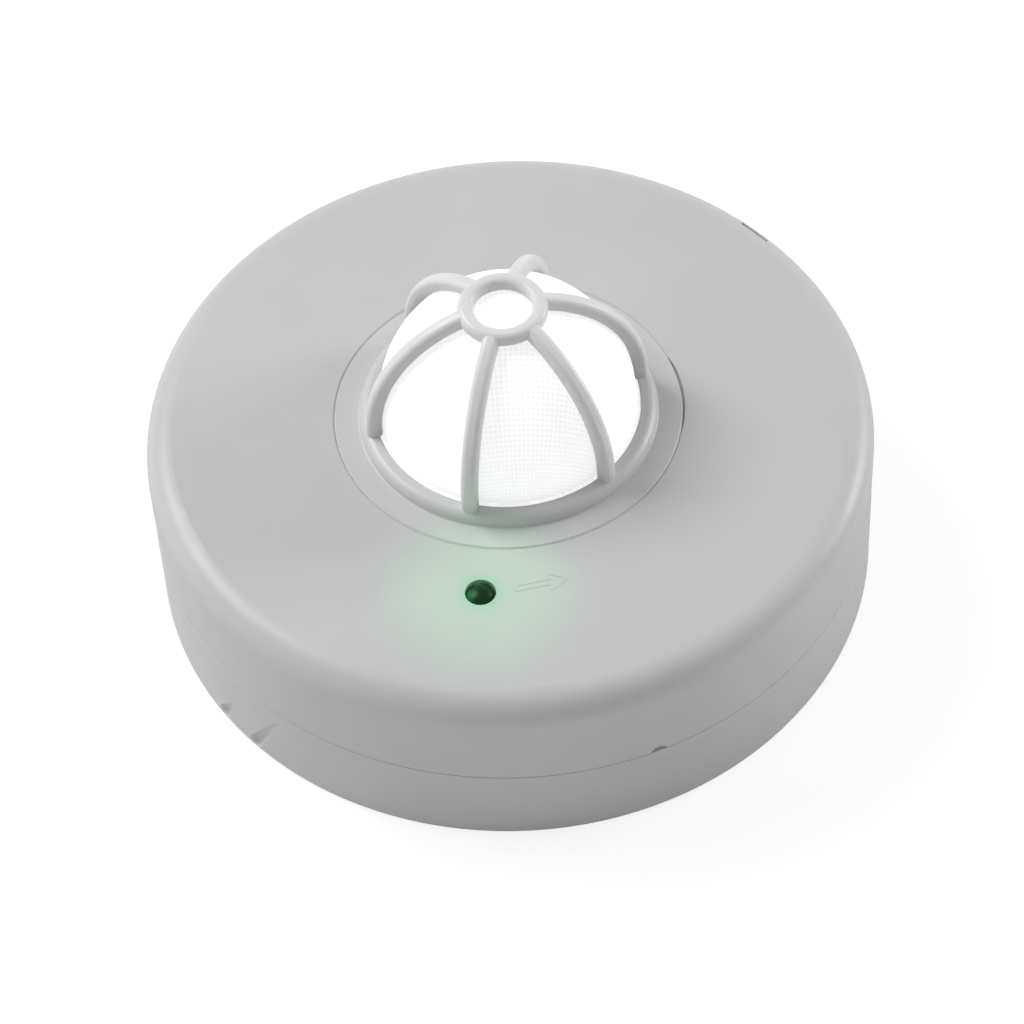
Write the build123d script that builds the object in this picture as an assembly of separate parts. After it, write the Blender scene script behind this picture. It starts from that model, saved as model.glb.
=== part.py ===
from build123d import *
from math import sqrt
import os

# Point-type heat detector: a twist-on head with a caged thermistor, on a ceiling base.
# Millimetres. +Z points away from the ceiling. The origin is the centre of the base's back
# face, and the status lamp is on the -Y side. Angles are in degrees from +X towards +Y.
# The head is drawn turned to its release stop: it locks 18 degrees clockwise from here.

# Outside of the drum
BASE_R = 55.8            # side wall radius at the back face
WALL_DRAFT = 0.8         # how much that radius shrinks over the drum's height
DRUM_H = 30.3            # back face to the flat top
EDGE_R = 4.2             # rounded top edge
SEAM_Z = 14.1            # where the base ends and the cover starts
SEAM_GAP = 0.03
SEAM_STEP = 0.06         # the cover stands back from the base by this
WALL_T = 2.2
TOP_T = 2.4

# Lap joint at the seam, with its seal
LAP_R = 54.3             # inside of the base's thin rim
LAP_Z = 12.1             # floor of the rebate behind that rim
BASE_IN_R = 53.3         # inside of the base's wall
SEAL_H = 0.95
TONGUE_IN_R = 53.15
TONGUE_OUT_R = 54.15

# Mounting base
FLOOR_T = 2.4
FOOT_BEVELS = (0.6, 0.18)    # the foot of the wall is eased in two steps
CABLE_R = 11.0           # cable entry
CABLE_COLLAR_T = 1.6
CABLE_COLLAR_H = 5.0
SLOT_W = 4.6             # clears an M4 screw
SLOT_L = 12.0
SLOTS_X = 60.3           # spacing of the slots along X
SLOTS_Y = 50.8           # spacing of the slots along Y
BACK_RELIEF = 0.6        # the back face is hollowed by this between its rim and hub
RELIEF_R = (14.5, 51.0)
GUSSET_TURNS = (42.0, 54.0)   # ribs of the floor, in degrees from each terminal
GUSSET = (33.0, 41.0, 1.2, 3.6)   # middle radius, length, thickness and top

# Slanted nicks in the outside of the base's wall, deepest just above the back face
NICK_ANGLES = (-144.6, -136.9)
NICK_LENGTHS = (7.0, 12.0)
NICK_FOOT_Z = 1.85
NICK_R = 1.35
NICK_END_R = 0.25
NICK_DEPTH = 0.7
NICK_SLANT = 30.0
NICK_LEAN = 4.5          # follows the curve of the wall

# Bayonet: three ledges in the base hold three lugs on the head's skirt
TWIST = 18.0
BAYONET_COUNT = 3
LEDGE_ANGLE = 68.0       # centre of the first ledge
LEDGE_WIDTH = 20.0       # degrees
LEDGE_IN_R = 50.3
LEDGE_Z = (9.0, 11.0)
STOP_SHIFT = 8.7         # from a ledge's centre to its stop web
STOP_WIDTH = 2.5
LUG_WIDTH = 20.0
LUG_SHIFT = 22.0         # from a ledge's centre to its lug's centre, unlocked
LUG_Z = (6.6, 8.8)
LUG_OUT_R = 52.7
SKIRT_R = (47.5, 49.5)

# Terminals, four alike
TERMINAL_COUNT = 4
TERMINAL_R = 36.0
TERMINAL_ANGLE = 20.0    # first clamp screw
PEDESTAL = 9.0
PEDESTAL_Z = 5.0
INSERT_R = 2.5
BLADE_T = 0.6
BLADE_W = 6.0
CREST = (14.0, 9.2)      # along the blade from its screw, and height of its top
WASHER = (7.6, 1.0)      # side and thickness
TERMINAL_SCREW_R = 1.5
TERMINAL_HEAD = (2.9, 2.0)

# Head
CHASSIS_Z = (13.6, 15.6)
CHASSIS_R = 52.6
BOARD_Z = (18.0, 19.6)
BOARD_R = 40.5
BOSS_RING_R = 44.0       # screws that join the chassis and the cover
BOSS_ANGLES = (90.0, 210.0, 330.0)
BOARD_SCREW_R = 30.0     # ring of the board's screws
BOARD_SCREW_ANGLES = (0.0, 120.0, 240.0)
STUD_CLEARANCE = 0.1     # between a locked stud and its blade
LEAD_R = 0.25
LEAD_SPACING = 2.54

# Status lamp, and the clear rod above it
LAMP_XY = (-5.5, -33.9)
LAMP_HOLE_R = 2.27
PIPE_R = 2.2
PIPE_DOME = (-0.9, 0.35)     # foot and crown of its domed end, from the drum's flat top
PIPE_COLLAR = (3.4, 1.4)     # radius and height

# Parts on the board
REFERENCE_XY = (-33.0, -8.0)
REFERENCE_Z = (22.4, 25.6)
SENSOR_LEAD_SPACING = 2.0
CHIP_XY = (13.0, 15.0)
CHIP_SIZE = (8.7, 3.9)
CHIP_PINS = 7            # on each side
CHIP_PITCH = 1.27
CAPACITOR_RING_R = 35.6
CAPACITOR_ANGLES = (18.0, 36.0)
CAPACITOR_R = 3.15
RECTIFIER_XY = (-17.0, 17.0)
RECTIFIER_SIZE = (6.4, 4.8)
TRANSISTOR_XY = (-34.5, 6.0)
TRANSISTOR_LEG = 2.0
CHIP_ARC_R = 22.0        # arc of the small chips

# Sensor cage; heights are above the drum's flat top
CAGE_HOLE_R = 26.33
CAGE_FLANGE_R = 26.3
CAGE_SHOULDER_R = 28.8
GROOVE = 0.22            # bevel on each side of the joint round the cage
RING_BORE_R = 20.0       # base ring
RING_R = 22.5
RING_TOP = 1.9
RING_ROUND = 1.5
DOME_Z = 2.7             # centre of the dome
RIB_R = (19.4, 21.8)     # inside and outside of the ribs
RIB_W = 2.5
RIB_COUNT = 6
RIB_ANGLE = -48.0        # first rib
RIB_ROUND = 0.95
RIB_ARC = 74.0           # degrees, from the dome's foot to the top ring
TOP_RING_R = (4.3, 6.6)
TOP_RING_H = 2.4
TOP_RING_ROUND = 0.95
SCREEN_R = (18.8, 19.3)
SCREEN_COLLAR_R = (19.4, 19.9)
SCREEN_STEP = 1.7        # where the screen narrows from its collar to its dome
CLIP_ANGLES = (30.0, 150.0, 270.0)

# Moulded marks on the cover
ARROW_XY = (3.4, -32.8)
ARROW_ANGLE = 10.0
ARROW_L = 7.6
ARROW_H = 0.05
ARROW_LINE = 0.2         # half the width of its outline
SLIT_ANGLE = 40.3
SLIT = (0.6, 5.6, 3.0)
NOTCH_ANGLE = -70.0      # scooped notch above the seam, where the two halves line up
NOTCH_R = 2.2
NOTCH_DEPTH = 0.45
RELIEF_ANGLE = 3.5       # crescent beside the cage
RELIEF_WIDTH = 0.16
RELIEF_DEPTH = 0.7

DOME_CENTRE_Z = DRUM_H + DOME_Z


def wall_r(z):
    """Outside radius of the drum's drafted side at height z."""
    return BASE_R - WALL_DRAFT * z / DRUM_H


def turned(points, rounds=()):
    """Solid of revolution about Z. points are (radius, height), rounds (point index, fillet)."""
    face = make_face(Polyline(*points, close=True))
    for index, radius in rounds:
        corner = face.vertices().sort_by_distance((*points[index], 0))[0]
        face = fillet(corner, radius)
    return revolve(Plane.XZ * face, Axis.Z)


def rod(radius, z0, z1, x=0.0, y=0.0):
    """Upright cylinder between two heights."""
    return Pos(x, y, (z0 + z1) / 2) * Cylinder(radius, z1 - z0)


def block(size_x, size_y, z0, z1):
    """Box between two heights, centred on Z."""
    return Pos(0, 0, (z0 + z1) / 2) * Box(size_x, size_y, z1 - z0)


def sector(r0, r1, z0, z1, centre, width):
    """Ring segment, 'width' degrees wide about the angle 'centre'."""
    section = Pos((r0 + r1) / 2, (z0 + z1) / 2) * Rectangle(r1 - r0, z1 - z0)
    return Rot(0, 0, centre - width / 2) * revolve(Plane.XZ * section, Axis.Z, width)


def polar(radius, angle):
    """Place on a circle, with local X pointing outwards."""
    return Rot(0, 0, angle) * Pos(radius, 0, 0)


def spread(count, first):
    """Evenly spaced angles."""
    return [first + i * 360 / count for i in range(count)]


def screw(head_r, head_h, shank_r, length):
    """Cross-head screw pointing down, with the underside of its head at height 0."""
    head = fillet(rod(head_r, 0, head_h).edges().group_by(Axis.Z)[-1], head_h * 0.4)
    cross = block(head_r * 1.2, 0.7, head_h * 0.4, head_h + 1)
    return head - cross - Rot(0, 0, 90) * cross + rod(shank_r, -length, 0)


def group(solids):
    """Separate solids that share one node."""
    return Compound(children=[part for solid in solids for part in solid.solids()])


# ---- mounting base ----

def mounting_base():
    top_r = wall_r(SEAM_Z)
    collar_r = CABLE_R + CABLE_COLLAR_T
    outer_bevel, inner_bevel = FOOT_BEVELS
    body = turned(
        [(CABLE_R, 0), (BASE_R - outer_bevel, 0), (BASE_R - inner_bevel, inner_bevel),
         (wall_r(outer_bevel), outer_bevel), (top_r, SEAM_Z), (LAP_R, SEAM_Z), (LAP_R, LAP_Z),
         (BASE_IN_R, LAP_Z), (BASE_IN_R, FLOOR_T), (collar_r, FLOOR_T),
         (collar_r, CABLE_COLLAR_H), (CABLE_R, CABLE_COLLAR_H)],
        rounds=[(4, 0.08), (8, 1.2), (9, 0.6)])
    for angle in spread(BAYONET_COUNT, LEDGE_ANGLE):
        body += sector(LEDGE_IN_R, BASE_IN_R + 0.2, *LEDGE_Z, angle, LEDGE_WIDTH)
        stop = angle - STOP_SHIFT
        body += sector(LEDGE_IN_R, BASE_IN_R + 0.2, LUG_Z[0], LEDGE_Z[0], stop, STOP_WIDTH)
    middle_r, length, thickness, top = GUSSET
    gusset = block(length, thickness, FLOOR_T - 0.5, top)
    for angle in spread(TERMINAL_COUNT, TERMINAL_ANGLE):
        body += polar(TERMINAL_R, angle) * block(PEDESTAL, PEDESTAL, FLOOR_T - 0.5, PEDESTAL_Z)
        body -= polar(TERMINAL_R, angle) * rod(INSERT_R, FLOOR_T, PEDESTAL_Z + 1)
        for turn in GUSSET_TURNS:
            body += polar(middle_r, angle + turn) * gusset
    return body - slots() - back_relief() - nicks()


def slots():
    """Two pairs of screw slots, each slot in line with its pair."""
    slot = extrude(SlotOverall(SLOT_L, SLOT_W), 8, both=True)
    along_x = [Pos(side * SLOTS_X / 2, 0, 0) * slot for side in (-1, 1)]
    along_y = [Pos(0, side * SLOTS_Y / 2, 0) * Rot(0, 0, 90) * slot for side in (-1, 1)]
    return along_x + along_y


def back_relief():
    """Shallow hollow in the back face, leaving a rim, a hub and a pad round each slot."""
    ring = rod(RELIEF_R[1], 0, BACK_RELIEF) - rod(RELIEF_R[0], 0, BACK_RELIEF)
    pad = extrude(SlotOverall(SLOT_L + 7, SLOT_W + 7), BACK_RELIEF)
    for side in (-1, 1):
        ring -= Pos(side * SLOTS_X / 2, 0, 0) * pad
        ring -= Pos(0, side * SLOTS_Y / 2, 0) * Rot(0, 0, 90) * pad
    return ring


def nicks():
    """Slanted cuts with a ball foot, which fade out up the wall."""
    upwards = (Align.CENTER, Align.CENTER, Align.MIN)
    centre_r = wall_r(NICK_FOOT_Z) + NICK_R - NICK_DEPTH
    axis = Pos(centre_r, 0, NICK_FOOT_Z) * Rot(-NICK_SLANT, 0, 0) * Rot(0, -NICK_LEAN, 0)
    cuts = []
    for angle, length in zip(NICK_ANGLES, NICK_LENGTHS):
        shape = Sphere(NICK_R) + Cone(NICK_R, NICK_END_R, length, align=upwards)
        cuts.append(Rot(0, 0, angle) * axis * shape)
    return cuts


def terminal(shape):
    """The same piece at each of the four terminals; its local Y runs along the blade."""
    return group([polar(TERMINAL_R, angle) * shape
                  for angle in spread(TERMINAL_COUNT, TERMINAL_ANGLE)])


def terminal_inserts():
    bush = rod(INSERT_R - 0.02, FLOOR_T, PEDESTAL_Z) - rod(TERMINAL_SCREW_R + 0.05, 3.0, 6)
    return terminal(bush)


def contact_blades():
    foot_z = PEDESTAL_Z + BLADE_T / 2
    crest_z = CREST[1] - BLADE_T / 2
    line = FilletPolyline((-4.2, foot_z), (4.8, foot_z), (CREST[0] - 2.4, crest_z),
                          (CREST[0] + 1.6, crest_z), (CREST[0] + 5.4, crest_z - 2.6), radius=0.9)
    strip = extrude(Plane.YZ * trace(line, BLADE_T), BLADE_W / 2, both=True)
    return terminal(strip - rod(TERMINAL_SCREW_R + 0.2, PEDESTAL_Z - 1, PEDESTAL_Z + 2))


def clamp_washers():
    side, thickness = WASHER
    bottom = PEDESTAL_Z + BLADE_T
    plate = block(side, side, bottom, bottom + thickness)
    plate = fillet(plate.edges().filter_by(Axis.Z), 0.8)
    return terminal(plate - rod(TERMINAL_SCREW_R + 0.15, 0, 20))


def terminal_screws():
    seat = PEDESTAL_Z + BLADE_T + WASHER[1]
    return terminal(Rot(0, 0, 25) * Pos(0, 0, seat) * screw(*TERMINAL_HEAD, TERMINAL_SCREW_R, 3.4))


def seal_ring():
    z0 = LAP_Z
    z1 = LAP_Z + SEAL_H
    r0 = BASE_IN_R + 0.1
    r1 = LAP_R - 0.1
    return turned([(r0, z0), (r1, z0), (r1, z1), (r0, z1)], rounds=[(2, 0.3), (3, 0.3)])


# ---- head: housing ----

def cover():
    z0 = SEAM_Z + SEAM_GAP
    under = DRUM_H - TOP_T
    tongue_z = LAP_Z + SEAL_H + 0.05
    foot_r = wall_r(z0) - SEAM_STEP
    body = turned(
        [(CAGE_HOLE_R + GROOVE, DRUM_H), (wall_r(DRUM_H), DRUM_H), (foot_r, z0), (TONGUE_OUT_R, z0),
         (TONGUE_OUT_R, tongue_z), (TONGUE_IN_R, tongue_z), (wall_r(under) - WALL_T, under),
         (CAGE_HOLE_R, under), (CAGE_HOLE_R, DRUM_H - GROOVE)],
        rounds=[(1, EDGE_R), (2, 0.05), (4, 0.2), (6, 2.0)])
    body += cover_bosses() + cage_clips() + [arrow()]
    body -= [thumbnail_relief(), alignment_notch()]
    body -= rod(LAMP_HOLE_R, under - 1, DRUM_H + 1, *LAMP_XY)
    for angle in BOSS_ANGLES:
        body -= polar(BOSS_RING_R, angle) * rod(1.5, 0, under - 1.4)
    return body - edge_slit()


def cover_bosses():
    """Posts that the chassis screws drive into."""
    bottom = CHASSIS_Z[1] + 0.05
    return [polar(BOSS_RING_R, angle) * rod(2.9, bottom, DRUM_H - 1) for angle in BOSS_ANGLES]


def cage_clips():
    """Hooks that trap the cage's shoulder under the cover."""
    under = DRUM_H - TOP_T
    clips = []
    for angle in CLIP_ANGLES:
        clips.append(sector(29.2, 31.0, under - 2.8, under + 1, angle, 16))
        clips.append(sector(28.0, 29.3, under - 2.8, under - 1.6, angle, 16))
    return clips


def thumbnail_relief():
    """Crescent that widens the joint round the cage on the +X side."""
    relief_r = 20.0
    centre = CAGE_HOLE_R + GROOVE + RELIEF_WIDTH - relief_r
    return polar(centre, RELIEF_ANGLE) * rod(relief_r, DRUM_H - RELIEF_DEPTH, DRUM_H + 1)


def arrow():
    """Raised outline of an arrow that shows the way the head turns off."""
    half = ARROW_L / 2
    outline = make_face(Polyline(
        (-half, -0.45), (half - 2.6, -0.45), (half - 2.6, -1.5), (half, 0),
        (half - 2.6, 1.5), (half - 2.6, 0.45), (-half, 0.45), close=True))
    line = offset(outline, ARROW_LINE) - offset(outline, -ARROW_LINE)
    place = Pos(*ARROW_XY, DRUM_H - 0.3) * Rot(0, 0, ARROW_ANGLE)
    return place * extrude(line, 0.3 + ARROW_H)


def edge_slit():
    """Short tool slit across the rounded edge."""
    return polar(53.1, SLIT_ANGLE) * Pos(0, 0, DRUM_H) * Box(*SLIT)


def alignment_notch():
    """Shallow scoop in the foot of the cover's side."""
    centre_r = wall_r(SEAM_Z) - SEAM_STEP + NOTCH_R - NOTCH_DEPTH
    return polar(centre_r, NOTCH_ANGLE) * Pos(0, 0, SEAM_Z) * Sphere(NOTCH_R)


def cage():
    top = DRUM_H
    seat_r = 21.2
    body = turned(
        [(RING_BORE_R, top - 1.5), (seat_r, top - 1.5), (seat_r, top - 3.9),
         (CAGE_SHOULDER_R, top - 3.9), (CAGE_SHOULDER_R, top - 2.5), (CAGE_FLANGE_R, top - 2.5),
         (CAGE_FLANGE_R, top - GROOVE), (CAGE_FLANGE_R - GROOVE, top), (RING_R, top),
         (RING_R, top + RING_TOP), (RING_BORE_R, top + RING_TOP)],
        rounds=[(8, 0.25), (9, RING_ROUND), (10, 0.25)])
    for angle in spread(RIB_COUNT, RIB_ANGLE):
        body += Rot(0, 0, angle) * cage_rib()
    return body - rod(RING_BORE_R, top - 1.5, top + RING_TOP - 0.05) + cage_top_ring()


def cage_rib():
    """One rib: a rounded bar bent along the dome from the base ring to the top ring."""
    depth = RIB_R[1] - RIB_R[0]
    mid_r = (RIB_R[0] + RIB_R[1]) / 2
    section = Pos(mid_r, 0, DOME_CENTRE_Z) * RectangleRounded(depth, RIB_W, RIB_ROUND)
    bend_axis = Axis((0, 0, DOME_CENTRE_Z), (0, -1, 0))
    return revolve(section, bend_axis, RIB_ARC) + extrude(section, -DOME_Z)


def cage_top_ring():
    r0, r1 = TOP_RING_R
    mid_r = (r0 + r1) / 2
    z1 = DOME_CENTRE_Z + sqrt(RIB_R[1] ** 2 - mid_r ** 2)
    z0 = z1 - TOP_RING_H
    return turned([(r0, z0), (r1, z0), (r1, z1), (r0, z1)],
                  rounds=[(corner, TOP_RING_ROUND) for corner in range(4)])


def thermal_screen():
    """Thin dome behind the ribs, on a wider collar with a small foot."""
    inner, outer = SCREEN_R
    collar_in, collar_out = SCREEN_COLLAR_R
    foot = DRUM_H - 2.1
    step = DRUM_H + SCREEN_STEP
    thickness = outer - inner
    shell = Sphere(outer) - Sphere(inner) - Pos(0, 0, -50) * Box(100, 100, 100)
    wall = turned(
        [(collar_in, foot), (21.0, foot), (21.0, foot + thickness), (collar_out, foot + thickness),
         (collar_out, step), (outer, step), (outer, DOME_CENTRE_Z), (inner, DOME_CENTRE_Z),
         (inner, step - thickness), (collar_in, step - thickness)])
    return Pos(0, 0, DOME_CENTRE_Z) * shell + wall


def screen_retaining_ring():
    z1 = DRUM_H - 2.15
    r0 = SCREEN_COLLAR_R[0]
    return turned([(r0, z1 - 1.5), (21.1, z1 - 1.5), (21.1, z1), (r0, z1)],
                  rounds=[(0, 0.3), (1, 0.3)])


def chassis():
    z0, z1 = CHASSIS_Z
    skirt_z = LUG_Z[0]
    body = turned(
        [(0, z0), (SKIRT_R[0], z0), (SKIRT_R[0], skirt_z), (SKIRT_R[1], skirt_z),
         (SKIRT_R[1], z0), (CHASSIS_R, z0), (CHASSIS_R, z1), (0, z1)],
        rounds=[(1, 1.0), (2, 0.3), (3, 0.3)])
    for angle in spread(BAYONET_COUNT, LEDGE_ANGLE + LUG_SHIFT):
        body += sector(SKIRT_R[1] - 0.2, LUG_OUT_R, *LUG_Z, angle, LUG_WIDTH)
    for angle in spread(6, 0):
        body += Rot(0, 0, angle) * Pos(21, 0, 0) * block(26, 1.2, z0 - 1.2, z0 + 0.5)
    for angle in BOARD_SCREW_ANGLES:
        body += polar(BOARD_SCREW_R, angle) * rod(2.8, z1 - 0.5, BOARD_Z[0])
        body -= polar(BOARD_SCREW_R, angle) * rod(1.05, z0 + 0.8, BOARD_Z[0] + 1)
    for angle in BOSS_ANGLES:
        body -= polar(BOSS_RING_R, angle) * rod(1.6, 0, 20)
    for x, y in stud_places():
        body += rod(2.4, z1 - 0.5, z1 + 1.2, x, y)
        body -= rod(1.05, 0, 20, x, y)
    return body


def chassis_screws():
    seat = Pos(0, 0, CHASSIS_Z[0]) * Rot(180, 0, 0)
    return group([polar(BOSS_RING_R, angle) * seat * screw(2.7, 1.8, 1.4, 9.5)
                  for angle in BOSS_ANGLES])


# ---- head: electronics ----

def stud_places():
    """Centres of the head's contact studs, turned back from the blades by the twist."""
    place = Vector(TERMINAL_R, CREST[0])
    return [tuple(place.rotate(Axis.Z, angle + TWIST))[:2]
            for angle in spread(TERMINAL_COUNT, TERMINAL_ANGLE)]


def head_contacts():
    z0 = CREST[1] + STUD_CLEARANCE
    z_seat = CHASSIS_Z[0]
    stud = turned([(0, z0), (2.2, z0), (2.2, z0 + 1.2), (1.5, z0 + 1.2), (1.5, z_seat),
                   (1.0, z_seat), (1.0, BOARD_Z[1] + 0.9), (0, BOARD_Z[1] + 0.9)],
                  rounds=[(1, 0.4), (6, 0.3)])
    return group([Pos(x, y, 0) * stud for x, y in stud_places()])


def lamp_leads():
    x, y = LAMP_XY
    return [(x - LEAD_SPACING / 2, y), (x + LEAD_SPACING / 2, y)]


def sensor_leads():
    return [(-SENSOR_LEAD_SPACING / 2, 0), (SENSOR_LEAD_SPACING / 2, 0)]


def reference_leads():
    x, y = REFERENCE_XY
    return [(x, y - LEAD_SPACING / 2), (x, y + LEAD_SPACING / 2)]


def circuit_board():
    z0, z1 = BOARD_Z
    board = rod(BOARD_R, z0, z1)
    for angle in BOARD_SCREW_ANGLES:
        board -= polar(BOARD_SCREW_R, angle) * rod(1.4, 0, 30)
    for x, y in stud_places():
        board -= rod(1.05, 0, 30, x, y)
    for x, y in lamp_leads() + sensor_leads() + reference_leads():
        board -= rod(LEAD_R + 0.05, 0, 30, x, y)
    return board


def pcb_screws():
    seat = Pos(0, 0, BOARD_Z[1])
    return group([polar(BOARD_SCREW_R, angle) * seat * screw(2.3, 1.5, 1.0, 4.6)
                  for angle in BOARD_SCREW_ANGLES])


def sensor_post():
    z0 = BOARD_Z[1]
    post = turned([(0, z0), (6, z0), (6, z0 + 1.2), (3.6, z0 + 1.2), (2.2, DRUM_H + 4),
                   (0, DRUM_H + 4)], rounds=[(3, 1.0), (4, 0.5)])
    for x, y in sensor_leads():
        post -= rod(LEAD_R + 0.05, 0, 60, x, y)
    return post


def thermistor_leads():
    return group([rod(LEAD_R, BOARD_Z[0] - 1, DRUM_H + 7.2, x, y) for x, y in sensor_leads()])


def thermistor_bead():
    z0 = DRUM_H + 6.2
    bead = turned([(0, z0), (1.6, z0), (1.6, z0 + 3.6), (0, z0 + 3.6)],
                  rounds=[(1, 1.0), (2, 1.5)])
    for x, y in sensor_leads():
        bead -= rod(LEAD_R, 0, DRUM_H + 7.2, x, y)
    return bead


def reference_thermistor():
    z0, z1 = REFERENCE_Z
    bead = turned([(0, z0), (1.9, z0), (1.9, z1), (0, z1)], rounds=[(1, 1.2), (2, 1.4)])
    bead = Pos(*REFERENCE_XY, 0) * bead
    for x, y in reference_leads():
        bead -= rod(LEAD_R, 0, z0 + 0.8, x, y)
    return bead


def reference_thermistor_leads():
    top = REFERENCE_Z[0] + 0.8
    return group([rod(LEAD_R, BOARD_Z[0] - 1, top, x, y) for x, y in reference_leads()])


def microcontroller():
    body = block(*CHIP_SIZE, BOARD_Z[1] + 0.1, BOARD_Z[1] + 1.5)
    body = chamfer(body.edges().group_by(Axis.Z)[-1], 0.25)
    dot = rod(0.35, BOARD_Z[1] + 1.35, 30, -3.6, -1.2)
    return Pos(*CHIP_XY, 0) * (body - dot)


def gull_wing(reach):
    """One bent pin, from the package's side at local Y 0 outwards."""
    z = BOARD_Z[1]
    foot = Pos(0, reach * 0.7, z + 0.1) * Box(0.4, reach * 0.6, 0.2)
    riser = Pos(0, reach * 0.45, z + 0.4) * Box(0.4, 0.2, 0.8)
    shoulder = Pos(0, reach * 0.25, z + 0.75) * Box(0.4, reach * 0.5, 0.2)
    return foot + riser + shoulder


def microcontroller_pins():
    pins = []
    for side in (0, 180):
        for i in range(CHIP_PINS):
            place = Pos((i - (CHIP_PINS - 1) / 2) * CHIP_PITCH, CHIP_SIZE[1] / 2, 0)
            pins.append(Pos(*CHIP_XY, 0) * Rot(0, 0, side) * place * gull_wing(1.1))
    return group(pins)


def electrolytic_capacitors():
    z0 = BOARD_Z[1]
    r = CAPACITOR_R
    can = turned([(0, z0), (r, z0), (r, z0 + 1.1), (r - 0.3, z0 + 1.4), (r, z0 + 1.7),
                  (r, z0 + 7), (0, z0 + 7)], rounds=[(5, 0.4)])
    vent = block(4.2, 0.3, z0 + 6.85, z0 + 8)
    return group([polar(CAPACITOR_RING_R, angle) * (can - vent - Rot(0, 0, 90) * vent)
                  for angle in CAPACITOR_ANGLES])


def bridge_rectifier():
    body = block(*RECTIFIER_SIZE, BOARD_Z[1] + 0.2, BOARD_Z[1] + 2.6)
    return Pos(*RECTIFIER_XY, 0) * chamfer(body.edges().group_by(Axis.Z)[-1], 0.4)


def rectifier_pins():
    edge = RECTIFIER_SIZE[1] / 2
    return group([Pos(*RECTIFIER_XY, 0) * Rot(0, 0, side) * Pos(x, edge, 0) * gull_wing(1.5)
                  for side in (0, 180) for x in (-2.5, 2.5)])


def output_transistor():
    z0 = BOARD_Z[1] + TRANSISTOR_LEG
    flat = Pos(0, -5, 0) * block(10, 7.6, z0 - 1, z0 + 6)
    return Pos(*TRANSISTOR_XY, 0) * (rod(2.3, z0, z0 + 4.6) - flat)


def transistor_leads():
    leg = block(0.45, 0.4, BOARD_Z[1], BOARD_Z[1] + TRANSISTOR_LEG)
    return group([Pos(*TRANSISTOR_XY, 0) * Pos(dx, 0, 0) * leg for dx in (-1.27, 0, 1.27)])


def chip_arc(height, first, count, step):
    """Surface-mount blocks along an arc on the board."""
    chip = block(2.0, 1.25, BOARD_Z[1], BOARD_Z[1] + height)
    return group([polar(CHIP_ARC_R, first + i * step) * chip for i in range(count)])


def chip_resistors():
    return chip_arc(0.5, first=176.0, count=9, step=9.0)


def chip_capacitors():
    return chip_arc(1.0, first=280.0, count=6, step=10.0)


def status_lamp():
    z0 = BOARD_Z[1]
    lamp = turned([(0, z0), (1.9, z0), (1.9, z0 + 1), (1.5, z0 + 1), (1.5, z0 + 5), (0, z0 + 5)],
                  rounds=[(4, 1.4)])
    for x, y in lamp_leads():
        lamp -= rod(LEAD_R, 0, z0 + 0.6, x - LAMP_XY[0], y - LAMP_XY[1])
    return Pos(*LAMP_XY, 0) * lamp


def status_lamp_leads():
    return group([rod(LEAD_R, BOARD_Z[0] - 1, BOARD_Z[1] + 0.6, x, y) for x, y in lamp_leads()])


def light_pipe():
    """Clear green rod in the cover's lamp hole, with a domed end and a collar under the cover."""
    under = DRUM_H - TOP_T - 0.05
    bottom = BOARD_Z[1] + 5.6
    collar_r, collar_h = PIPE_COLLAR
    foot, crown = [DRUM_H + z for z in PIPE_DOME]
    rise = crown - foot
    dome_r = (PIPE_R ** 2 + rise ** 2) / (2 * rise)
    dome = rod(PIPE_R, foot, crown) & Pos(0, 0, crown - dome_r) * Sphere(dome_r)
    shaft = turned(
        [(0, bottom), (PIPE_R, bottom), (PIPE_R, under - collar_h), (collar_r, under - collar_h),
         (collar_r, under), (PIPE_R, under), (PIPE_R, foot), (0, foot)])
    return Pos(*LAMP_XY, 0) * (shaft + dome)


PIECES = [
    mounting_base, terminal_inserts, contact_blades, clamp_washers, terminal_screws, seal_ring,
    cover, cage, thermal_screen, screen_retaining_ring, chassis, chassis_screws, head_contacts,
    circuit_board, pcb_screws, sensor_post, thermistor_leads, thermistor_bead,
    reference_thermistor, reference_thermistor_leads, microcontroller, microcontroller_pins,
    electrolytic_capacitors, bridge_rectifier, rectifier_pins, output_transistor,
    transistor_leads, chip_resistors, chip_capacitors, status_lamp, status_lamp_leads, light_pipe,
]

os.makedirs("parts", exist_ok=True)
for piece in PIECES:
    export_step(piece(), f"parts/{piece.__name__}.step")
    print("wrote", piece.__name__)
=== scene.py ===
from math import cos, radians, sin

import bpy
from mathutils import Matrix, Vector


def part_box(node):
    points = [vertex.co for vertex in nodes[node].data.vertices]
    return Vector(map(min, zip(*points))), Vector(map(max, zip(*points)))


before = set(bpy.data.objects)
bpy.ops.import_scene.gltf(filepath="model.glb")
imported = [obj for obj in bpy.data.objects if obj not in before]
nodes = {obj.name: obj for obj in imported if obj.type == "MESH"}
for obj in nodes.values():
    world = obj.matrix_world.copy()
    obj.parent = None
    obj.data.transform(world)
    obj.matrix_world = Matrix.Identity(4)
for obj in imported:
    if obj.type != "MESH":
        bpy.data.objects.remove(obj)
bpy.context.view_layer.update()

# ---- places taken from the frame, in metres ----

MM = 0.001
FOOT_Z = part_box("mounting_base")[0].z
TOP_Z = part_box("cover")[1].z
PIPE_LOW, PIPE_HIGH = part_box("light_pipe")
LAMP = (PIPE_LOW + PIPE_HIGH) / 2      # centre of the lamp's lens
SCREEN_LOW, SCREEN_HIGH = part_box("thermal_screen")
DRUM_MID = TOP_Z / 2

# ---- finishes, in metres where they are lengths ----

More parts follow.
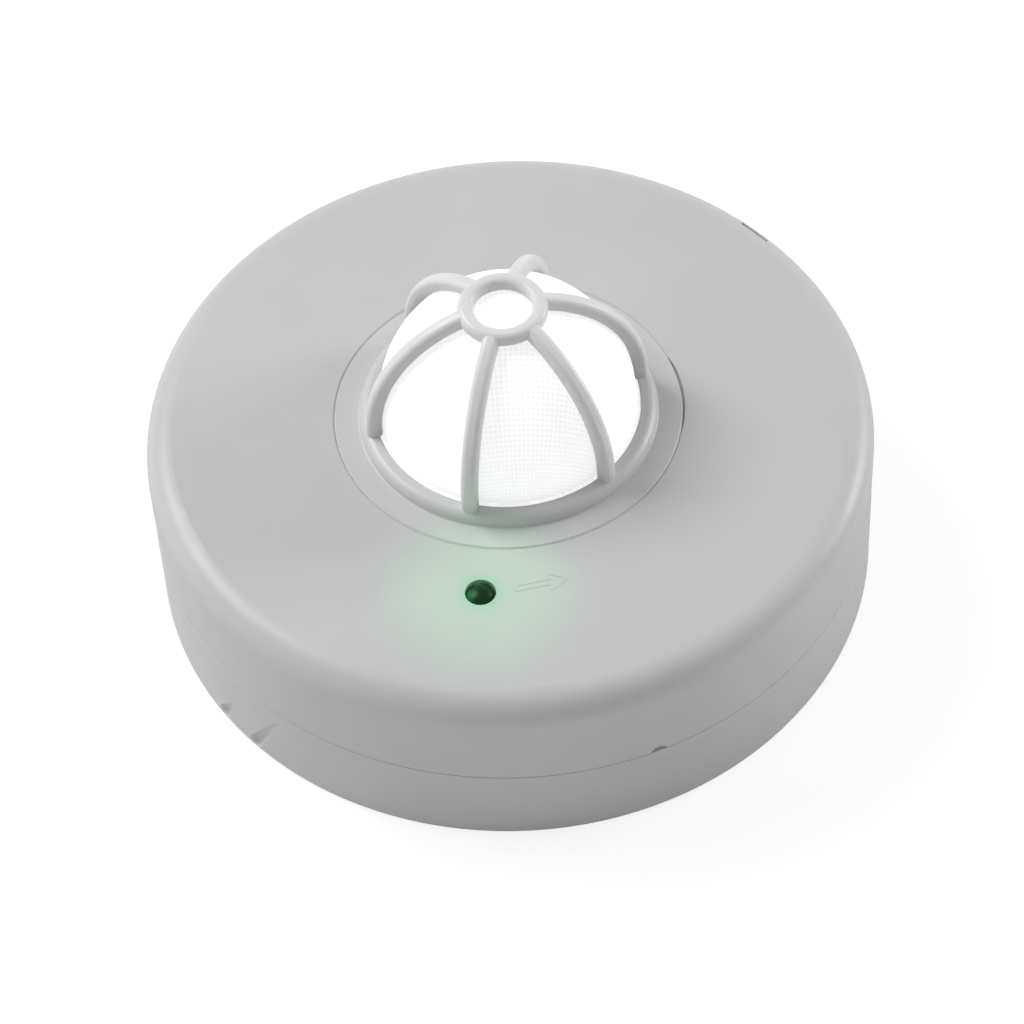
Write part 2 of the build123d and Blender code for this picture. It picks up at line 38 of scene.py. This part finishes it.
MESH_WAVES = 390                       # wave scale that gives threads 0.8 mm apart
CORNER = 1.6 * MM                      # how far the painted corner shade reaches out of a corner
GLOW_SPREAD = (5 * MM, 19 * MM)        # the lamp's green light, painted on the plastic, fades between these
GLOW_TINT = (0.955, 1.21, 1.035, 1)
RIM_SPREAD = (2.3 * MM, 4 * MM)        # painted green light is deeper right at the lamp's hole
RIM_TINT = (0.80, 1.02, 0.93, 1)
RIB_LIGHT_SPREAD = (1.2 * MM, 4 * MM)        # heights over which painted light makes the cage lighter
RIB_LIGHT_TINT = (1.24, 1.24, 1.24, 1)

# ---- light ----

LIGHT_DISTANCE = 1.2
LIGHT_POWER = 11.6
SKY = 0.33
FLOOR_HALF = 6.0
FLOOR_GAP = 0.05 * MM                  # keeps the floor and the table from touching the base
FLOOR_GLOW = 0.80

# ---- camera ----

LENS = 102.0
CAMERA_DISTANCE = 0.4493
CAMERA_ELEVATION = radians(51.08)
CAMERA_ROLL = radians(-3.3)
CAMERA_DROP = radians(0.7757)          # tilts the camera down, so the drum sits above the middle


def shader(name):
    """A new node material and its principled shader."""
    made = bpy.data.materials.new(name)
    made.use_nodes = True
    return made, made.node_tree, made.node_tree.nodes["Principled BSDF"]


def node(tree, kind, links=None, **values):
    """Adds a node, sets its inputs and properties by name, and links its inputs."""
    made = tree.nodes.new(kind)
    for key, value in values.items():
        if hasattr(made, key):
            setattr(made, key, value)
        else:
            made.inputs[key.replace("_", " ")].default_value = value
    for key, source in (links or {}).items():
        tree.links.new(source, made.inputs[key])
    return made


def object_noise(tree, scale, detail=2.0, roughness=0.5):
    """Noise fixed to the piece; scale is in features per metre."""
    place = node(tree, "ShaderNodeTexCoord").outputs["Object"]
    return node(tree, "ShaderNodeTexNoise", {"Vector": place},
                Scale=scale, Detail=detail, Roughness=roughness).outputs["Fac"]


def spread_values(tree, source, low, high):
    """Maps noise, which mostly lies from 0.3 to 0.7, onto a range."""
    return node(tree, "ShaderNodeMapRange", {"Value": source},
                From_Min=0.3, From_Max=0.7, To_Min=low, To_Max=high).outputs["Result"]


def mixed(tree, factor, first, second, blend="MIX"):
    """Mix of two colours; each is a socket or a plain RGBA."""
    made = tree.nodes.new("ShaderNodeMix")
    made.data_type = "RGBA"
    made.blend_type = blend
    factor_socket, first_socket, second_socket = (made.inputs[i] for i in (0, 6, 7))
    for socket, value in ((factor_socket, factor), (first_socket, first), (second_socket, second)):
        if isinstance(value, bpy.types.NodeSocket):
            tree.links.new(value, socket)
        else:
            socket.default_value = value
    return made.outputs[2]


def rgba(grey):
    """A neutral grey as an RGBA."""
    return (grey, grey, grey, 1)


def moulded(name, colour, roughness=0.42, texture=2200, texture_depth=0.012, mottle=0.02,
            corner_shade=0.05):
    """Injection-moulded plastic: fine eroded texture, faint mottling, and painted shade darkening
    its corners.
    """
    made, tree, principled = shader(name)
    flow = spread_values(tree, object_noise(tree, 45, 3), 1 - mottle, 1 + mottle)
    grey = node(tree, "ShaderNodeCombineColor", {"Red": flow, "Green": flow, "Blue": flow})
    base = mixed(tree, 1.0, colour, grey.outputs[0], "MULTIPLY")
    # Painted shade: an ambient occlusion mask darkens the colour in corners, creases and recesses.
    corners = node(tree, "ShaderNodeAmbientOcclusion", Distance=CORNER, samples=8).outputs["AO"]
    shade_factor = spread_values(tree, corners, 1 - corner_shade, 1)
    shade_grey = node(tree, "ShaderNodeCombineColor", {"Red": shade_factor, "Green": shade_factor, "Blue": shade_factor})
    base = mixed(tree, 1.0, base, shade_grey.outputs[0], "MULTIPLY")
    tree.links.new(base, principled.inputs["Base Color"])
    rough = spread_values(tree, object_noise(tree, 160, 4), roughness - 0.05, roughness + 0.05)
    tree.links.new(rough, principled.inputs["Roughness"])
    relief = node(tree, "ShaderNodeBump", {"Height": object_noise(tree, texture, 2)},
                  Strength=0.5, Distance=texture_depth * MM)
    tree.links.new(relief.outputs["Normal"], principled.inputs["Normal"])
    principled.inputs["IOR"].default_value = 1.5
    return made


def metal(name, colour, roughness=0.3, tarnish=0.9):
    """Bare or plated metal with soft stains and fine rolling marks."""
    made, tree, principled = shader(name)
    principled.inputs["Metallic"].default_value = 1
    stain = mixed(tree, spread_values(tree, object_noise(tree, 180, 2), 0, 1), colour,
                  [c * tarnish for c in colour[:3]] + [1])
    tree.links.new(stain, principled.inputs["Base Color"])
    rough = spread_values(tree, object_noise(tree, 400, 3), roughness - 0.04, roughness + 0.08)
    tree.links.new(rough, principled.inputs["Roughness"])
    relief = node(tree, "ShaderNodeBump", {"Height": object_noise(tree, 2500, 1)},
                  Strength=0.15, Distance=0.004 * MM)
    tree.links.new(relief.outputs["Normal"], principled.inputs["Normal"])
    return made


def fade_from(tree, centre, near, far):
    """1 within 'near' of a point, falling smoothly to 0 at 'far'."""
    place = node(tree, "ShaderNodeTexCoord").outputs["Object"]
    away = node(tree, "ShaderNodeVectorMath", {0: place}, operation="DISTANCE")
    away.inputs[1].default_value = centre
    fade = node(tree, "ShaderNodeMapRange", {"Value": away.outputs["Value"]},
                From_Min=near, From_Max=far, To_Min=1.0, To_Max=0.0)
    fade.interpolation_type = "SMOOTHSTEP"
    return fade.outputs["Result"]


def retint(made, factor, tint):
    """Multiplies a plastic's colour by a tint, where factor is 1."""
    tree = made.node_tree
    target = tree.nodes["Principled BSDF"].inputs["Base Color"]
    plain = target.links[0].from_socket
    tinted = mixed(tree, 1.0, plain, tint, "MULTIPLY")
    tree.links.new(mixed(tree, factor, plain, tinted), target)


def glow_round_lamp(made):
    """Green light of the lit lamp, painted into the colour of the plastic round it."""
    centre = (LAMP.x, LAMP.y, TOP_Z)
    retint(made, fade_from(made.node_tree, centre, *GLOW_SPREAD), GLOW_TINT)
    retint(made, fade_from(made.node_tree, centre, *RIM_SPREAD), RIM_TINT)


def paint_light_on_ribs(made):
    """Paints light on the cage's thin ribs: makes them lighter than its base ring, as if light
    came through them.
    """
    tree = made.node_tree
    place = node(tree, "ShaderNodeTexCoord").outputs["Object"]
    height = node(tree, "ShaderNodeSeparateXYZ", {"Vector": place}).outputs["Z"]
    # Painted light: the colour is lightened from these heights up, standing in for light through
    # the thin ribs.
    rib_light = node(tree, "ShaderNodeMapRange", {"Value": height}, To_Min=0.0, To_Max=1.0,
                From_Min=TOP_Z + RIB_LIGHT_SPREAD[0], From_Max=TOP_Z + RIB_LIGHT_SPREAD[1])
    retint(made, rib_light.outputs["Result"], RIB_LIGHT_TINT)


def lens_green():
    """Dark green acrylic of the light pipe, with the lamp's light inside it painted as two glowing
    spots.
    """
    made, tree, principled = shader("lens_green")
    principled.inputs["Base Color"].default_value = (0.002, 0.024, 0.006, 1)
    principled.inputs["Roughness"].default_value = 0.36
    principled.inputs["Specular IOR Level"].default_value = 0.16
    die = PIPE_HIGH.z - 0.5 * MM
    # Painted light: two fixed glowing spots stand in for the lamp's light in the lens.
    left = fade_from(tree, (LAMP.x - 1.5 * MM, LAMP.y - 0.2 * MM, die), 0.1 * MM, 1.5 * MM)
    back = fade_from(tree, (LAMP.x - 0.4 * MM, LAMP.y + 2.1 * MM, die), 0.1 * MM, 1.4 * MM)
    light = node(tree, "ShaderNodeMath", {0: left, 1: back}, operation="MAXIMUM").outputs[0]
    flecks = spread_values(tree, object_noise(tree, 900, 2), 0.75, 1.25)
    light = node(tree, "ShaderNodeMath", {0: light, 1: flecks}, operation="MULTIPLY").outputs[0]
    glimmer = mixed(tree, light, (0.003, 0.018, 0.004, 1), (0.022, 0.15, 0.058, 1))
    tree.links.new(glimmer, principled.inputs["Emission Color"])
    principled.inputs["Emission Strength"].default_value = 1.0
    return made


def laid_over_dome(tree):
    """Place on a flat sheet that was pressed over the screen's dome, as a vector."""
    radius = (SCREEN_HIGH.x - SCREEN_LOW.x) / 2
    centre = (0, 0, SCREEN_HIGH.z - radius)
    place = node(tree, "ShaderNodeTexCoord").outputs["Object"]
    place = node(tree, "ShaderNodeVectorMath", {0: place}, operation="SUBTRACT")
    place.inputs[1].default_value = centre
    height = node(tree, "ShaderNodeSeparateXYZ", {0: place.outputs[0]}).outputs["Z"]
    flat = node(tree, "ShaderNodeVectorMath", {0: place.outputs[0]}, operation="MULTIPLY")
    flat.inputs[1].default_value = (1, 1, 0)       # drops the height
    out = node(tree, "ShaderNodeVectorMath", {0: flat.outputs[0]}, operation="LENGTH")
    angle = node(tree, "ShaderNodeMath", {0: out.outputs["Value"], 1: height}, operation="ARCTAN2")
    along = node(tree, "ShaderNodeMath", {0: angle.outputs[0]}, operation="MULTIPLY")
    along.inputs[1].default_value = radius
    aim = node(tree, "ShaderNodeVectorMath", {0: flat.outputs[0]}, operation="NORMALIZE")
    return node(tree, "ShaderNodeVectorMath", {0: aim.outputs[0], "Scale": along.outputs[0]},
                operation="SCALE").outputs[0]


def white_mesh_with_painted_glow():
    """Fine white woven mesh, pressed over the dome. A painted glow of its own keeps it white in
    the shade.
    """
    made, tree, principled = shader("white_mesh_with_painted_glow")
    place = laid_over_dome(tree)
    across, along = (node(tree, "ShaderNodeTexWave", {"Vector": place}, bands_direction=direction,
                          Scale=MESH_WAVES).outputs["Fac"] for direction in ("X", "Y"))
    weave = node(tree, "ShaderNodeMath", {0: across, 1: along}, operation="MAXIMUM").outputs[0]
    shade = mixed(tree, weave, rgba(0.80), rgba(0.95))
    tree.links.new(shade, principled.inputs["Base Color"])
    # Painted light: the mesh glows in its own colour, so no shade shows on it.
    tree.links.new(shade, principled.inputs["Emission Color"])
    principled.inputs["Emission Strength"].default_value = 0.64
    principled.inputs["Roughness"].default_value = 0.8
    relief = node(tree, "ShaderNodeBump", {"Height": weave}, Strength=0.4, Distance=0.03 * MM)
    tree.links.new(relief.outputs["Normal"], principled.inputs["Normal"])
    return made


def wear(node_names, made):
    """Gives CAD nodes a finish."""
    for name in node_names:
        data = nodes[name].data
        data.materials.clear()
        data.materials.append(made)


def add_finishes():
    cover = moulded("cover_plastic", rgba(0.70), roughness=0.38)
    glow_round_lamp(cover)
    wear(["cover"], cover)
    cage = moulded("cage_plastic", rgba(0.735), roughness=0.36, corner_shade=0.02)
    paint_light_on_ribs(cage)
    glow_round_lamp(cage)
    wear(["cage"], cage)
    wear(["mounting_base"], moulded("base_plastic", rgba(0.70), roughness=0.4, corner_shade=0.3))
    wear(["chassis"], moulded("chassis_plastic", rgba(0.66), roughness=0.5))
    wear(["thermal_screen"], white_mesh_with_painted_glow())
    nodes["thermal_screen"].visible_diffuse = False    # so its glow doesn't light the ribs
    wear(["screen_retaining_ring", "sensor_post"], moulded("acetal", rgba(0.7), 0.35))
    wear(["seal_ring"], moulded("black_rubber", rgba(0.02), 0.7, texture=900))
    wear(["contact_blades", "head_contacts"], metal("spring_brass", (0.75, 0.56, 0.27, 1), 0.28))
    wear(["terminal_inserts"], metal("insert_brass", (0.70, 0.50, 0.22, 1), 0.35))
    wear(["terminal_screws", "clamp_washers", "chassis_screws", "pcb_screws"],
         metal("zinc_steel", (0.62, 0.63, 0.65, 1), 0.3))
    wear(["circuit_board"], moulded("solder_mask", (0.02, 0.16, 0.06, 1), 0.25, texture=600))
    wear(["thermistor_leads", "reference_thermistor_leads", "status_lamp_leads",
          "microcontroller_pins", "rectifier_pins", "transistor_leads"],
         metal("tinned_copper", (0.72, 0.72, 0.70, 1), 0.25))
    wear(["thermistor_bead", "microcontroller", "bridge_rectifier", "output_transistor",
          "chip_resistors"], moulded("black_epoxy", rgba(0.02), 0.4))
    wear(["reference_thermistor"], moulded("green_epoxy", (0.03, 0.12, 0.04, 1), 0.3))
    wear(["electrolytic_capacitors"], metal("can_aluminium", (0.8, 0.8, 0.82, 1), 0.3))
    wear(["chip_capacitors"], moulded("tan_ceramic", (0.42, 0.28, 0.16, 1), 0.4))
    wear(["status_lamp"], moulded("lamp_epoxy", (0.05, 0.45, 0.15, 1), 0.2))
    wear(["light_pipe"], lens_green())


def plane(name, height, colour, glow=0.0):
    """Square sheet under the object; glow is light of its own."""
    mesh = bpy.data.meshes.new(name)
    side = FLOOR_HALF
    corners = [(-side, -side, 0), (side, -side, 0), (side, side, 0), (-side, side, 0)]
    mesh.from_pydata(corners, [], [(0, 1, 2, 3)])
    made, tree, principled = shader(name + "_paint")
    principled.inputs["Base Color"].default_value = colour
    principled.inputs["Roughness"].default_value = 0.9
    principled.inputs["Specular IOR Level"].default_value = 0.1
    principled.inputs["Emission Color"].default_value = (1, 1, 1, 1)
    principled.inputs["Emission Strength"].default_value = glow
    mesh.materials.append(made)
    sheet = bpy.data.objects.new(name, mesh)
    bpy.context.scene.collection.objects.link(sheet)
    sheet.location.z = height
    return sheet


def add_floor():
    """The pale floor that the camera sees, and the unseen table that light bounces off."""
    floor = plane("floor", FOOT_Z - FLOOR_GAP, rgba(0.34), glow=FLOOR_GLOW)
    floor.visible_diffuse = False
    floor.visible_glossy = False
    floor.visible_shadow = False
    table = plane("table", FOOT_Z - 2 * FLOOR_GAP, rgba(0.88))
    table.visible_camera = False


def softbox(name, azimuth, elevation, strength, size=0.55):
    """Round soft light aimed at the object. Azimuth 0 is in front and 90 on the right."""
    data = bpy.data.lights.new(name, "AREA")
    data.shape = "DISK"
    data.size = size
    data.energy = strength * LIGHT_POWER
    lamp = bpy.data.objects.new(name, data)
    bpy.context.scene.collection.objects.link(lamp)
    a, e = radians(azimuth), radians(elevation)
    back = Vector((sin(a) * cos(e), -cos(a) * cos(e), sin(e)))
    lamp.location = back * LIGHT_DISTANCE + Vector((0, 0, DRUM_MID))
    lamp.rotation_mode = "QUATERNION"
    lamp.rotation_quaternion = (-back).to_track_quat("-Z", "Y")


def add_lights():
    """Soft light from both sides and behind, so that the front wall stays darker than the top."""
    world = bpy.data.worlds.new("studio")
    bpy.context.scene.world = world
    world.use_nodes = True
    background = world.node_tree.nodes["Background"]
    background.inputs["Color"].default_value = (1, 1, 1, 1)
    background.inputs["Strength"].default_value = SKY
    softbox("left", -120, 48, 0.67, 0.7)
    softbox("low_left", -100, 10, 0.05)
    softbox("right", 110, 15, 0.47)


def add_camera():
    """Camera in front of and above the drum, rolled a little, with the drum above the middle."""
    data = bpy.data.cameras.new("camera")
    data.lens = LENS
    data.clip_start = 0.01
    camera = bpy.data.objects.new("camera", data)
    bpy.context.scene.collection.objects.link(camera)
    bpy.context.scene.camera = camera
    e = CAMERA_ELEVATION
    outwards = Vector((0, -cos(e), sin(e)))
    turn = Matrix.Rotation(CAMERA_ROLL, 3, outwards)
    right = turn @ Vector((1, 0, 0))
    drop = Matrix.Rotation(-CAMERA_DROP, 3, right)
    back = drop @ outwards
    up = drop @ turn @ Vector((0, sin(e), cos(e)))
    camera.matrix_world = Matrix((
        (right.x, up.x, back.x, 0), (right.y, up.y, back.y, 0), (right.z, up.z, back.z, 0),
        (0, 0, 0, 1)))
    camera.location = Vector((0, 0, DRUM_MID)) + outwards * CAMERA_DISTANCE


add_finishes()
add_floor()
add_lights()
add_camera()
bpy.context.scene.view_settings.view_transform = "Standard"
